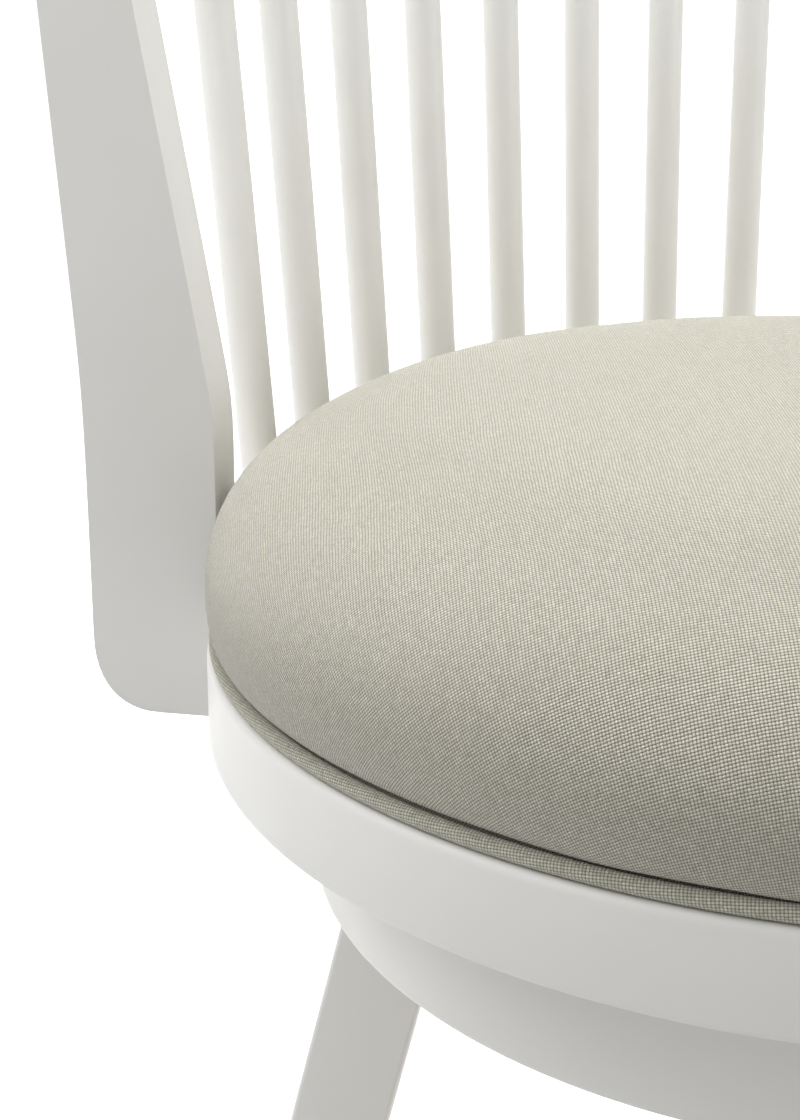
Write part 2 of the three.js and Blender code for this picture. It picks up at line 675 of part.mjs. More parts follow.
const kickPlateOuter = stretcherRadius + STRETCHER_THICKNESS / 2 + GAP + KICK_PLATE_THICKNESS;
const kickPlateTop = STRETCHER_HEIGHT + STRETCHER_DEPTH + GAP + KICK_PLATE_THICKNESS;

// Sheet metal folded over the top and outer face of the front stretcher.
function kickPlate() {
  const inner = stretcherRadius - STRETCHER_THICKNESS / 2 + STRETCHER_ROUNDING;
  const lip = kickPlateOuter - KICK_PLATE_THICKNESS;
  const under = kickPlateTop - KICK_PLATE_THICKNESS;
  const foldRadius = 2;
  const profile = [
    [inner, under],
    [lip, under],
    [lip, under - KICK_PLATE_LIP],
    [kickPlateOuter, under - KICK_PLATE_LIP],
    [kickPlateOuter, kickPlateTop - foldRadius],
    [kickPlateOuter - foldRadius, kickPlateTop],
    [inner, kickPlateTop],
    [inner, under],
  ];
  const plate = arcPiece(profile, 180 - KICK_PLATE_HALF_ANGLE, 180 + KICK_PLATE_HALF_ANGLE, 0);
  return cut(plate, kickScrewHoles());
}

function kickScrewHoles() {
  const tip = kickPlateTop - KICK_SCREW_REACH - GAP;
  return [-1, 1].map((side) => {
    const hole = uprightRod(SCREW.shank + GAP, tip, kickPlateTop + OVERCUT, stretcherRadius);
    return turnTo(hole, 180 + side * KICK_SCREW_BEARING);
  });
}

addPiece(base, "base_ring", baseRing(), paint);
addPiece(base, "base_board", baseBoard(), plywood);
for (const [corner, bearing] of Object.entries(legBearings)) {
  addPiece(base, `leg_${corner}`, leg(bearing), paint);
  const bolt = fastener(BOLT, legBoltHead() - legHead + LEG_BOLT_REACH).rotateX(Math.PI);
  bolt.translate(legBoltCircle, 0, legBoltHead());
  addPiece(base, `leg_bolt_${corner}`, turnTo(bolt, bearing), steel);
  const foot = legOuter(GLIDE_THICKNESS + GAP) - LEG_WIDTH / 2;
  const glide = uprightRod(GLIDE_RADIUS, 0, GLIDE_THICKNESS, foot, 0, 16);
  addPiece(base, `glide_${corner}`, turnTo(glide, bearing), nylon);
}
addPiece(base, "stretcher_rear", stretcher(-POST_BEARING, POST_BEARING), paint);
addPiece(base, "stretcher_right", stretcher(POST_BEARING, 180 - POST_BEARING), paint);
const footRail = stretcher(180 - POST_BEARING, 180 + POST_BEARING);
addPiece(base, "stretcher_front", cut(footRail, kickScrewHoles()), paint);
addPiece(base, "stretcher_left", stretcher(180 + POST_BEARING, 360 - POST_BEARING), paint);
addPiece(base, "kick_plate", kickPlate(), steel);
["left", "right"].forEach((side, i) => {
  const screw = fastener(SCREW, KICK_SCREW_REACH).rotateX(Math.PI);
  screw.translate(stretcherRadius, 0, kickPlateTop + GAP);
  const bearing = 180 + [1, -1][i] * KICK_SCREW_BEARING;
  addPiece(base, `kick_plate_screw_${side}`, turnTo(screw, bearing), steel);
});

const crestOuter = rakedRadius(BACK_TOP - CREST_ROUNDING) + CREST_THICKNESS / 2;
const front = Math.max(cushionRadius, kickPlateOuter);
stool.position.y = (front - crestOuter) / 2;

export default stool;
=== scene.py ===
import bisect
import json
import math

import bpy
from mathutils import Matrix, Vector


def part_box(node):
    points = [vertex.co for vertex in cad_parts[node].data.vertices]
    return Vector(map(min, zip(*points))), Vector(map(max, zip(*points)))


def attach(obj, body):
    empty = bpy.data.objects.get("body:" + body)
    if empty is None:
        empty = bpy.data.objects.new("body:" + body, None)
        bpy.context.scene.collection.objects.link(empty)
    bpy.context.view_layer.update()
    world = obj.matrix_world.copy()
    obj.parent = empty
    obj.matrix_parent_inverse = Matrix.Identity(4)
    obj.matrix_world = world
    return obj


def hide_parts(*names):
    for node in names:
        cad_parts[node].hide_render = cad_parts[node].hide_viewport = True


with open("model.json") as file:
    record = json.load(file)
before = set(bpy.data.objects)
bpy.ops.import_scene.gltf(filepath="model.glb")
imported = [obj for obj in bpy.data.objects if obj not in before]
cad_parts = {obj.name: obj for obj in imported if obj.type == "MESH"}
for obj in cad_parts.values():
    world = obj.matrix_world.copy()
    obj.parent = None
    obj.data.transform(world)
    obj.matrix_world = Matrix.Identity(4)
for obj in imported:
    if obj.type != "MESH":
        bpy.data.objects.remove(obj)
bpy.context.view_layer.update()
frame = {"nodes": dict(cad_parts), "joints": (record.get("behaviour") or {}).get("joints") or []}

# ---- Studio ---------------------------------------------------------------------------------
# A pale sweep, lit from under behind the stool, in a tent that is darker at the front. Soft
# panels stand behind, overhead, at the left and at the front right. The camera looks down on
# the seat's edge from the front left.
swivel = Vector(frame["joints"][0]["pos_m"])
ring_low, ring_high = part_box("seat_ring")
seat_radius = (ring_high.x - ring_low.x) / 2
ring_foot = ring_low.z
ring_top = ring_high.z

camera_data = bpy.data.cameras.new("camera")
camera_data.lens = 61.8
camera_data.sensor_width = 36
camera_bearing = 29.63
camera_dip = 17.99
camera_roll = 0.315
camera = bpy.data.objects.new("camera", camera_data)
camera.location = (swivel.x - 0.4602, swivel.y - 0.4846, ring_foot + 0.2691)
camera_heading = Matrix.Rotation(math.radians(-camera_bearing), 3, "Z")
camera_tilt = Matrix.Rotation(math.radians(90 - camera_dip), 3, "X")
camera_level = Matrix.Rotation(math.radians(camera_roll), 3, "Z")
camera.rotation_euler = (camera_heading @ camera_tilt @ camera_level).to_euler()
bpy.context.collection.objects.link(camera)
bpy.context.scene.camera = camera
bpy.context.scene.view_settings.view_transform = "Standard"

tent_opening = Vector((-0.15, -0.97, -0.2)).normalized()
tent_light = 0.4
opening_light = 0.24


def new_material(name):
    material = bpy.data.materials.new(name)
    material.use_nodes = True
    return material, material.node_tree.nodes, material.node_tree.links


def add_math(nodes, links, operation, *values):
    """A Math node with its inputs linked or set. Returns its output."""
    node = nodes.new("ShaderNodeMath")
    node.operation = operation
    for slot, value in enumerate(values):
        if isinstance(value, (int, float)):
            node.inputs[slot].default_value = value
        else:
            links.new(value, node.inputs[slot])
    return node.outputs["Value"]


def add_range(nodes, links, value, low, high, to_low, to_high, smooth=False):
    node = nodes.new("ShaderNodeMapRange")
    node.interpolation_type = "SMOOTHSTEP" if smooth else "LINEAR"
    links.new(value, node.inputs["Value"])
    node.inputs["From Min"].default_value = low
    node.inputs["From Max"].default_value = high
    node.inputs["To Min"].default_value = to_low
    node.inputs["To Max"].default_value = to_high
    return node.outputs["Result"]


def add_along(nodes, links, vector, direction):
    """How far a vector output reaches along a direction."""
    node = nodes.new("ShaderNodeVectorMath")
    node.operation = "DOT_PRODUCT"
    links.new(vector, node.inputs[0])
    node.inputs[1].default_value = direction
    return node.outputs["Value"]


tent = bpy.data.worlds.new("tent")
bpy.context.scene.world = tent
tent.use_nodes = True
tent_nodes, tent_links = tent.node_tree.nodes, tent.node_tree.links
tent_place = tent_nodes.new("ShaderNodeTexCoord")
towards_opening = add_along(tent_nodes, tent_links, tent_place.outputs["Generated"], tent_opening)
tent_strength = add_range(
    tent_nodes, tent_links, towards_opening, -0.1, 0.9, tent_light, opening_light, smooth=True)
tent_links.new(tent_strength, tent_nodes["Background"].inputs["Strength"])
tent_nodes["Background"].inputs["Color"].default_value = (1, 1, 1, 1)


lit_middle = Vector((0, 0, 0.6))
panel_distance = 2.2
panel_size = 1.4


def soft_light(name, bearing, height, power):
    """A round panel aimed at the seat. Bearings run from +Y towards +X."""
    bearing, height = math.radians(bearing), math.radians(height)
    outwards = Vector((
        math.sin(bearing) * math.cos(height), math.cos(bearing) * math.cos(height),
        math.sin(height)))
    bpy.ops.object.light_add(type="AREA", location=lit_middle + outwards * panel_distance)
    light = bpy.context.object
    light.name = name
    light.data.shape = "DISK"
    light.data.size = panel_size
    light.data.energy = power
    light.rotation_euler = (-outwards).to_track_quat("-Z", "Y").to_euler()


soft_light("rear_light", 20, 12, 31)
soft_light("high_rear_light", 20, 45, 29)
soft_light("overhead_light", 0, 85, 45)
soft_light("left_light", 300, 43, 12)
soft_light("high_left_light", 260, 45, 9.5)
soft_light("right_light", 140, 12, 11)

bpy.ops.mesh.primitive_plane_add(size=80, location=(0, 0, 0))
floor = bpy.context.object
floor.name = "floor"
sweep_paper, paper_nodes, paper_links = new_material("white_sweep")
paper_shader = paper_nodes["Principled BSDF"]
paper_shader.inputs["Base Color"].default_value = (0.5, 0.5, 0.5, 1)
paper_shader.inputs["Roughness"].default_value = 0.9
paper_shader.inputs["Specular IOR Level"].default_value = 0.0
paper_shader.inputs["Emission Color"].default_value = (1, 1, 1, 1)
# The sweep glows with painted light: its emission is faint towards the camera and rises behind the
# stool and far from it.
paper_place = paper_nodes.new("ShaderNodeTexCoord").outputs["Object"]
away_from_camera = (0.4945, 0.8692, 0)
paper_depth = add_along(paper_nodes, paper_links, paper_place, away_from_camera)
near_glow = add_range(paper_nodes, paper_links, paper_depth, -0.2, 0.42, 0, 0.65, smooth=True)
paper_reach = paper_nodes.new("ShaderNodeVectorMath")
paper_reach.operation = "LENGTH"
paper_links.new(paper_place, paper_reach.inputs[0])
far_glow = add_range(
    paper_nodes, paper_links, paper_reach.outputs["Value"], 0.9, 2.6, 0, 0.5, smooth=True)
paper_glow = add_math(paper_nodes, paper_links, "ADD", near_glow, far_glow)
paper_links.new(paper_glow, paper_shader.inputs["Emission Strength"])
floor.data.materials.append(sweep_paper)

# ---- Base: four legs ------------------------------------------------------------------------
# Flat hardwood boards set edge-on to the swivel axis and splayed, upright only inside the base
# ring. Sawn, eased along every edge, and sprayed with satin white paint.
base_low, base_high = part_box("base_ring")
base_radius = (base_high.x - base_low.x) / 2
base_wall = 0.016
base_bore = base_radius - base_wall
leg_low, leg_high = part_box("leg_rear_left")
leg_bearings = {"rear_left": -50, "rear_right": 50, "front_right": 130, "front_left": 230}
leg_thickness = 0.027
leg_width = 0.0392
leg_splay = 0.2345
leg_clearance = 0.0006
leg_shoulder = math.sqrt(base_bore ** 2 - (leg_thickness / 2) ** 2) - leg_clearance


def add_noise(nodes, links, place, scale, detail=2, stretch=None, distortion=0):
    """A noise texture over a place, which can be stretched first. Returns its strength."""
    texture = nodes.new("ShaderNodeTexNoise")
    texture.inputs["Scale"].default_value = scale
    texture.inputs["Detail"].default_value = detail
    texture.inputs["Distortion"].default_value = distortion
    if stretch:
        mapping = nodes.new("ShaderNodeMapping")
        mapping.inputs["Scale"].default_value = stretch
        links.new(place, mapping.inputs["Vector"])
        place = mapping.outputs["Vector"]
    links.new(place, texture.inputs["Vector"])
    return texture.outputs["Fac"]


def add_ramp(nodes, links, value, low, low_tone, high, high_tone):
    """A colour that runs from one tone to another as a value rises from low to high."""
    ramp = nodes.new("ShaderNodeValToRGB")
    first, second = ramp.color_ramp.elements
    first.position, second.position = low, high
    first.color, second.color = (*low_tone, 1), (*high_tone, 1)
    links.new(value, ramp.inputs["Fac"])
    return ramp.outputs["Color"]


def add_bump(nodes, links, shader, height, strength, distance):
    bump = nodes.new("ShaderNodeBump")
    bump.inputs["Strength"].default_value = strength
    bump.inputs["Distance"].default_value = distance
    links.new(height, bump.inputs["Height"])
    links.new(bump.outputs["Normal"], shader.inputs["Normal"])


def painted_wood():
    """Sprayed satin paint: faint orange peel, a few dust nibs, and slow changes of tone."""
    material, nodes, links = new_material("satin_white_paint")
    shader = nodes["Principled BSDF"]
    shader.inputs["Specular IOR Level"].default_value = 0.4
    place = nodes.new("ShaderNodeTexCoord").outputs["Object"]
    clouds = add_noise(nodes, links, place, 11, detail=4)
    tone = add_ramp(nodes, links, clouds, 0.3, (0.770, 0.763, 0.735), 0.7, (0.800, 0.793, 0.768))
    nibs = nodes.new("ShaderNodeTexVoronoi")
    nibs.inputs["Scale"].default_value = 90
    links.new(place, nibs.inputs["Vector"])
    nib = add_range(nodes, links, nibs.outputs["Distance"], 0.012, 0.03, 1, 0, smooth=True)
    dulled = nodes.new("ShaderNodeMix")
    dulled.data_type = "RGBA"
    dulled.inputs["B"].default_value = (0.62, 0.61, 0.58, 1)
    links.new(add_math(nodes, links, "MULTIPLY", nib, 0.5), dulled.inputs["Factor"])
    links.new(tone, dulled.inputs["A"])
    links.new(dulled.outputs["Result"], shader.inputs["Base Color"])
    wear = add_noise(nodes, links, place, 26, detail=3)
    links.new(add_range(nodes, links, wear, 0.3, 0.7, 0.38, 0.5), shader.inputs["Roughness"])
    peel = add_noise(nodes, links, place, 700)
    raised = add_math(nodes, links, "MULTIPLY", nib, 1.5)
    grain = add_noise(nodes, links, place, 1, detail=3, stretch=(420, 420, 22))
    relief = add_math(nodes, links, "ADD", add_math(nodes, links, "ADD", peel, raised), grain)
    add_bump(nodes, links, shader, relief, 0.18, 0.00008)
    return material


white_paint = painted_wood()


def select_only(piece):
    bpy.ops.object.select_all(action="DESELECT")
    piece.select_set(True)
    bpy.context.view_layer.objects.active = piece


def add_modifier(piece, kind, **settings):
    """Adds a modifier, sets it and applies it."""
    select_only(piece)
    bpy.ops.object.modifier_add(type=kind)
    modifier = piece.modifiers[-1]
    for key, value in settings.items():
        setattr(modifier, key, value)
    bpy.ops.object.modifier_apply(modifier=modifier.name)


def ease_edges(piece, width, segments=3, angle=40):
    add_modifier(piece, "BEVEL", width=width, segments=segments, limit_method="ANGLE",
                 angle_limit=math.radians(angle), harden_normals=False)


def face_outwards(piece):
    select_only(piece)
    bpy.ops.object.mode_set(mode="EDIT")
    bpy.ops.mesh.select_all(action="SELECT")
    bpy.ops.mesh.remove_doubles(threshold=1e-6)
    bpy.ops.mesh.normals_make_consistent(inside=False)
    bpy.ops.object.mode_set(mode="OBJECT")


def grow_board(name, rows, thickness):
    """A board in the upright plane through +X: an edge from inner to outer is extruded from one
    (height, inner, outer) row to the next, and the sheet is thickened about its middle."""
    bpy.ops.object.select_all(action="DESELECT")
    bpy.ops.mesh.primitive_plane_add(size=1, location=(0, 0, 0))
    board = bpy.context.object
    board.name = name
    bpy.ops.object.mode_set(mode="EDIT")
    bpy.ops.mesh.select_mode(type="VERT")
    bpy.ops.mesh.select_all(action="SELECT")
    bpy.ops.mesh.merge(type="CENTER")
    height, inner, outer = rows[0]
    bpy.ops.transform.translate(value=(inner, 0, height))
    bpy.ops.mesh.extrude_region_move(TRANSFORM_OT_translate={"value": (outer - inner, 0, 0)})
    bpy.ops.mesh.select_all(action="SELECT")
    for (low, inner, outer), (high, next_inner, next_outer) in zip(rows, rows[1:]):
        next_middle = (next_inner + next_outer) / 2
        move = (next_middle - (inner + outer) / 2, 0, high - low)
        bpy.ops.mesh.extrude_region_move(TRANSFORM_OT_translate={"value": move})
        widen = (next_outer - next_inner) / (outer - inner)
        bpy.ops.transform.resize(value=(widen, 1, 1), center_override=(next_middle, 0, high))
    bpy.ops.object.mode_set(mode="OBJECT")
    add_modifier(board, "SOLIDIFY", thickness=thickness, offset=0)
    face_outwards(board)
    return board


def place_piece(piece, bearing=90.0):
    """Turns a piece drawn along +X about the swivel to its bearing from the back."""
    select_only(piece)
    piece.rotation_euler = (0, 0, math.radians(90 - bearing))
    piece.location = (swivel.x, swivel.y, 0)
    bpy.ops.object.transform_apply(location=True, rotation=True, scale=True)


def finish_piece(piece, material, slot, body, *nodes, smooth=35):
    """Smooth shading, the finish, and the body and CAD nodes that the piece stands for."""
    select_only(piece)
    bpy.ops.object.shade_smooth_by_angle(angle=math.radians(smooth))
    piece.data.materials.clear()
    piece.data.materials.append(material)
    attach(piece, body)
    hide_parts(*nodes)


def leg_outer(height):
    """How far the leg's outer edge stands from the swivel axis."""
    return leg_shoulder + leg_splay * max(base_low.z - height, 0)


leg_heights = [leg_low.z, leg_low.z + 0.004, 0.1, 0.2, 0.3, 0.4, base_low.z, leg_high.z]
leg_rows = [(height, leg_outer(height) - leg_width, leg_outer(height)) for height in leg_heights]
for corner, bearing in leg_bearings.items():
    leg = grow_board("leg_" + corner + "_painted", leg_rows, leg_thickness)
    ease_edges(leg, 0.002, segments=4, angle=50)
    place_piece(leg, bearing)
    finish_piece(leg, white_paint, "white_paint", "base", "leg_" + corner)

# ---- Base: glides ---------------------------------------------------------------------------
# Moulded nylon discs under the feet, domed at the rim and held by a nail whose head sits in a
# recess underneath.
nylon, nylon_nodes, nylon_links = new_material("nylon")
nylon_shader = nylon_nodes["Principled BSDF"]
nylon_shader.inputs["Subsurface Weight"].default_value = 0.1
nylon_shader.inputs["Subsurface Scale"].default_value = 0.003
nylon_place = nylon_nodes.new("ShaderNodeTexCoord").outputs["Object"]
nylon_scuff = add_noise(nylon_nodes, nylon_links, nylon_place, 220)
nylon_tone = add_ramp(
    nylon_nodes, nylon_links, nylon_scuff, 0, (0.60, 0.59, 0.55), 1, (0.70, 0.69, 0.66))
nylon_gloss = add_range(nylon_nodes, nylon_links, nylon_scuff, 0.3, 0.7, 0.42, 0.62)
nylon_links.new(nylon_tone, nylon_shader.inputs["Base Color"])
nylon_links.new(nylon_gloss, nylon_shader.inputs["Roughness"])
glide_radius = 0.011
recess_radius = 0.0038
recess_height = 0.0016
nail_radius = 0.0032
nail_head_height = 0.0007


def select_faces(piece, wanted):
    """In edit mode, selects only the faces whose middle and normal pass the test."""
    bpy.ops.mesh.select_mode(type="FACE")
    bpy.ops.mesh.select_all(action="DESELECT")
    bpy.ops.object.mode_set(mode="OBJECT")
    for face in piece.data.polygons:
        face.select = wanted(face.center, face.normal)
    bpy.ops.object.mode_set(mode="EDIT")


for corner, bearing in leg_bearings.items():
    glide_low, glide_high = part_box("glide_" + corner)
    bpy.ops.object.select_all(action="DESELECT")
    bpy.ops.mesh.primitive_cylinder_add(
        vertices=48, radius=glide_radius, depth=glide_high.z - glide_low.z, location=(0, 0, 0))
    glide = bpy.context.object
    glide.name = "glide_" + corner + "_moulded"
    bpy.ops.object.mode_set(mode="EDIT")
    select_faces(glide, lambda middle, normal: normal.z < -0.9)
    bpy.ops.mesh.inset(thickness=glide_radius - recess_radius)
    bpy.ops.mesh.extrude_region_move(TRANSFORM_OT_translate={"value": (0, 0, recess_height)})
    bpy.ops.mesh.inset(thickness=recess_radius - nail_radius)
    bpy.ops.mesh.extrude_region_move(TRANSFORM_OT_translate={"value": (0, 0, -nail_head_height)})
    bpy.ops.object.mode_set(mode="OBJECT")
    ease_edges(glide, 0.0006, segments=3)
    select_only(glide)
    glide.location = (glide_low + glide_high) / 2
    bpy.ops.object.transform_apply(location=True, rotation=True, scale=True)
    finish_piece(glide, nylon, "nylon", "base", "glide_" + corner)

# ---- Base: stretchers -----------------------------------------------------------------------
# Four bent-laminated rails, curved about the swivel axis and let into the legs' wide faces.
# The front one is the footrest.
stretcher_low, stretcher_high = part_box("stretcher_rear")
stretcher_middle = (stretcher_low.z + stretcher_high.z) / 2
stretcher_inset = 0.003
stretcher_radius = leg_outer(stretcher_middle) - leg_width / 2 - stretcher_inset
stretcher_thickness = 0.020
stretcher_rounding = 0.004
joint_gap = 0.0003


def centre_on_x(piece):
    """Turns an arc about the origin so that its middle lies on +X."""
    total = sum((vertex.co for vertex in piece.data.vertices), Vector())
    select_only(piece)
    piece.rotation_euler = (0, 0, -math.atan2(total.y, total.x))
    bpy.ops.object.transform_apply(location=True, rotation=True, scale=True)


def spin_section(name, inner, outer, low, high, rounding, sweep=360.0, steps=160, lean=0.0):
    """A rectangular section with rounded corners, spun about the origin's upright axis. lean
    slopes both of its sides outwards."""
    bpy.ops.object.select_all(action="DESELECT")
    bpy.ops.mesh.primitive_plane_add(size=1, location=(0, 0, 0), rotation=(math.pi / 2, 0, 0))
    piece = bpy.context.object
    piece.name = name
    piece.scale = (outer - inner, high - low, 1)
    piece.location = ((inner + outer) / 2, 0, (low + high) / 2)
    bpy.ops.object.transform_apply(location=True, rotation=True, scale=True)
    for vertex in piece.data.vertices:
        if vertex.co.z > (low + high) / 2:
            vertex.co.x += lean * (high - low)
    bpy.ops.object.mode_set(mode="EDIT")
    bpy.ops.mesh.select_all(action="SELECT")
    bpy.ops.mesh.bevel(offset=rounding, segments=5, affect="VERTICES")
    bpy.ops.mesh.select_all(action="SELECT")
    if sweep == 360:
        bpy.ops.mesh.delete(type="ONLY_FACE")
        bpy.ops.mesh.select_all(action="SELECT")
    bpy.ops.mesh.spin(steps=steps, angle=math.radians(sweep), center=(0, 0, 0), axis=(0, 0, 1))
    bpy.ops.object.mode_set(mode="OBJECT")
    face_outwards(piece)
    if sweep < 360:
        centre_on_x(piece)
    return piece


def cut_off(piece, point, normal):
    """Saws off what lies beyond a plane and closes the cut."""
    select_only(piece)
    bpy.ops.object.mode_set(mode="EDIT")
    bpy.ops.mesh.select_all(action="SELECT")
    bpy.ops.mesh.bisect(plane_co=point, plane_no=normal, use_fill=True, clear_outer=True)
    bpy.ops.object.mode_set(mode="OBJECT")


def spin_between_boards(name, inner, outer, low, high, rounding, spread, board_thickness):
    """A spun rail that ends square on the wide faces of two boards, spread degrees apart."""
    rail = spin_section(
        name, inner, outer, low, high, rounding, sweep=spread, steps=round(spread * 1.2))
    offset = board_thickness / 2 + joint_gap
    for side in (-1, 1):
        board_turn = math.radians(side * spread / 2)
        across = Vector((-math.sin(board_turn), math.cos(board_turn), 0)) * side
        cut_off(rail, across * -offset, across)
    face_outwards(rail)
    return rail


stretchers = {"rear": (-50, 50), "right": (50, 130), "front": (130, 230), "left": (230, 310)}
for side, (start, end) in stretchers.items():
    stretcher = spin_between_boards(
        "stretcher_" + side + "_painted", stretcher_radius - stretcher_thickness / 2,
        stretcher_radius + stretcher_thickness / 2, stretcher_low.z, stretcher_high.z,
        stretcher_rounding, end - start, leg_thickness)
    place_piece(stretcher, (start + end) / 2)
    finish_piece(stretcher, white_paint, "white_paint", "base", "stretcher_" + side)

# ---- Base: kick plate -----------------------------------------------------------------------
# Brushed stainless sheet folded over the footrest's top and front, held by two screws.
plate_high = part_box("kick_plate")[1]
plate_thickness = 0.0012
plate_sweep = 64
plate_inner = stretcher_radius - stretcher_thickness / 2 + stretcher_rounding
plate_outer = stretcher_radius + stretcher_thickness / 2 + joint_gap + plate_thickness
plate_lip = 0.014
plate_fold = 0.0022


def brushed_metal(name, colour, roughness, stretch):
    """Bare metal with fine lines of brushing, slightly uneven in gloss."""
    material, nodes, links = new_material(name)
    shader = nodes["Principled BSDF"]
    shader.inputs["Metallic"].default_value = 1.0
    place = nodes.new("ShaderNodeTexCoord").outputs["Object"]
    lines = add_noise(nodes, links, place, 1, detail=4, stretch=stretch)
    tone = add_ramp(nodes, links, lines, 0, [0.82 * part for part in colour], 1, colour)
    gloss = add_range(nodes, links, lines, 0.3, 0.7, roughness - 0.07, roughness + 0.1)
    links.new(tone, shader.inputs["Base Color"])
    links.new(gloss, shader.inputs["Roughness"])
    add_bump(nodes, links, shader, lines, 0.12, 0.0001)
    return material


stainless = brushed_metal("brushed_stainless", (0.62, 0.61, 0.59), 0.3, (20, 20, 1400))
zinc_plate = brushed_metal("bright_zinc", (0.56, 0.57, 0.58), 0.38, (160, 160, 160))

bpy.ops.object.select_all(action="DESELECT")
bpy.ops.mesh.primitive_plane_add(size=1, location=(0, 0, 0))
kick_plate = bpy.context.object
kick_plate.name = "kick_plate_folded"
bpy.ops.object.mode_set(mode="EDIT")
bpy.ops.mesh.select_mode(type="VERT")
bpy.ops.mesh.select_all(action="SELECT")
bpy.ops.mesh.merge(type="CENTER")
bpy.ops.transform.translate(value=(plate_inner, 0, plate_high.z))
bpy.ops.mesh.extrude_region_move(
    TRANSFORM_OT_translate={"value": (plate_outer - plate_inner, 0, 0)})
bpy.ops.mesh.extrude_region_move(
    TRANSFORM_OT_translate={"value": (0, 0, -plate_lip - plate_thickness)})
bpy.ops.mesh.select_all(action="DESELECT")
bpy.ops.object.mode_set(mode="OBJECT")
for vertex in kick_plate.data.vertices:
    vertex.select = vertex.co.x > plate_outer - 1e-5 and vertex.co.z > plate_high.z - 1e-5
bpy.ops.object.mode_set(mode="EDIT")
bpy.ops.mesh.bevel(offset=plate_fold, segments=6, affect="VERTICES")
bpy.ops.mesh.select_all(action="SELECT")
bpy.ops.mesh.spin(steps=64, angle=math.radians(plate_sweep), center=(0, 0, 0), axis=(0, 0, 1))
bpy.ops.object.mode_set(mode="OBJECT")
face_outwards(kick_plate)
centre_on_x(kick_plate)
if sum(face.normal.z * face.area for face in kick_plate.data.polygons) < 0:
    kick_plate.data.flip_normals()
add_modifier(kick_plate, "SOLIDIFY", thickness=plate_thickness, offset=-1)
ease_edges(kick_plate, 0.00025, segments=2, angle=60)
place_piece(kick_plate, 180)
finish_piece(kick_plate, stainless, "steel", "base", "kick_plate")


def at_bearing(radius, bearing, height):
    turn = math.radians(bearing)
    return Vector((swivel.x + radius * math.sin(turn), swivel.y + radius * math.cos(turn), height))


def fit_screw(node, head_radius, head_height, shank, length, seat_point, axis, material, slot,
              body):
    """A domed screw with a hexagon recess. The underside of its head sits on seat_point."""
    bpy.ops.object.select_all(action="DESELECT")
    bpy.ops.mesh.primitive_cylinder_add(
        vertices=32, radius=head_radius, depth=head_height, location=(0, 0, head_height / 2))
    screw = bpy.context.object
    screw.name = node + "_domed"
    bpy.ops.object.mode_set(mode="EDIT")
    select_faces(screw, lambda middle, normal: normal.z > 0.9)
    bpy.ops.mesh.bevel(offset=min(head_radius * 0.3, head_height * 0.6), segments=4,
                       affect="EDGES")
    select_faces(screw, lambda middle, normal: normal.z < -0.9)
    bpy.ops.mesh.inset(thickness=head_radius - shank)
    bpy.ops.mesh.extrude_region_move(TRANSFORM_OT_translate={"value": (0, 0, shank - length)})
    bpy.ops.mesh.extrude_region_move(TRANSFORM_OT_translate={"value": (0, 0, -shank)})
    bpy.ops.transform.resize(value=(0.2, 0.2, 1), center_override=(0, 0, -length))
    bpy.ops.object.mode_set(mode="OBJECT")
    bpy.ops.object.select_all(action="DESELECT")
    bpy.ops.mesh.primitive_cylinder_add(
        vertices=6, radius=head_radius * 0.55, depth=head_height,
        location=(0, 0, head_height * 0.9))
    recess = bpy.context.object
    add_modifier(screw, "BOOLEAN", operation="DIFFERENCE", object=recess, solver="EXACT")
    bpy.data.objects.remove(recess)
    select_only(screw)
    screw.rotation_euler = Vector(axis).to_track_quat("Z", "Y").to_euler()
    screw.location = seat_point
    bpy.ops.object.transform_apply(location=True, rotation=True, scale=True)
    finish_piece(screw, material, slot, body, node)


kick_screw_turn = 25.6
for side, bearing in (("left", 180 + kick_screw_turn), ("right", 180 - kick_screw_turn)):
    head_seat = at_bearing(stretcher_radius, bearing, plate_high.z + joint_gap)
    fit_screw("kick_plate_screw_" + side, 0.0036, 0.0015, 0.0019, 0.012, head_seat, (0, 0, 1),
              stainless, "steel", "base")

# ---- Base: ring, board and leg bolts --------------------------------------------------------
# A hoop of laminated hardwood turned true and painted. A plywood disc inside it carries the
# swivel and takes a bolt down into each leg's head.
ring_rounding = 0.003
base_ring = spin_section(
    "base_ring_painted", base_bore, base_radius, base_low.z, base_high.z, ring_rounding)
place_piece(base_ring)
finish_piece(base_ring, white_paint, "white_paint", "base", "base_ring")


def add_darkened(nodes, links, colour, factor):
    """A colour multiplied by a factor."""
    mix = nodes.new("ShaderNodeMix")
    mix.data_type = "RGBA"
    mix.blend_type = "MULTIPLY"
    mix.inputs["Factor"].default_value = 1
    links.new(colour, mix.inputs["A"])
    links.new(factor, mix.inputs["B"])
    return mix.outputs["Result"]


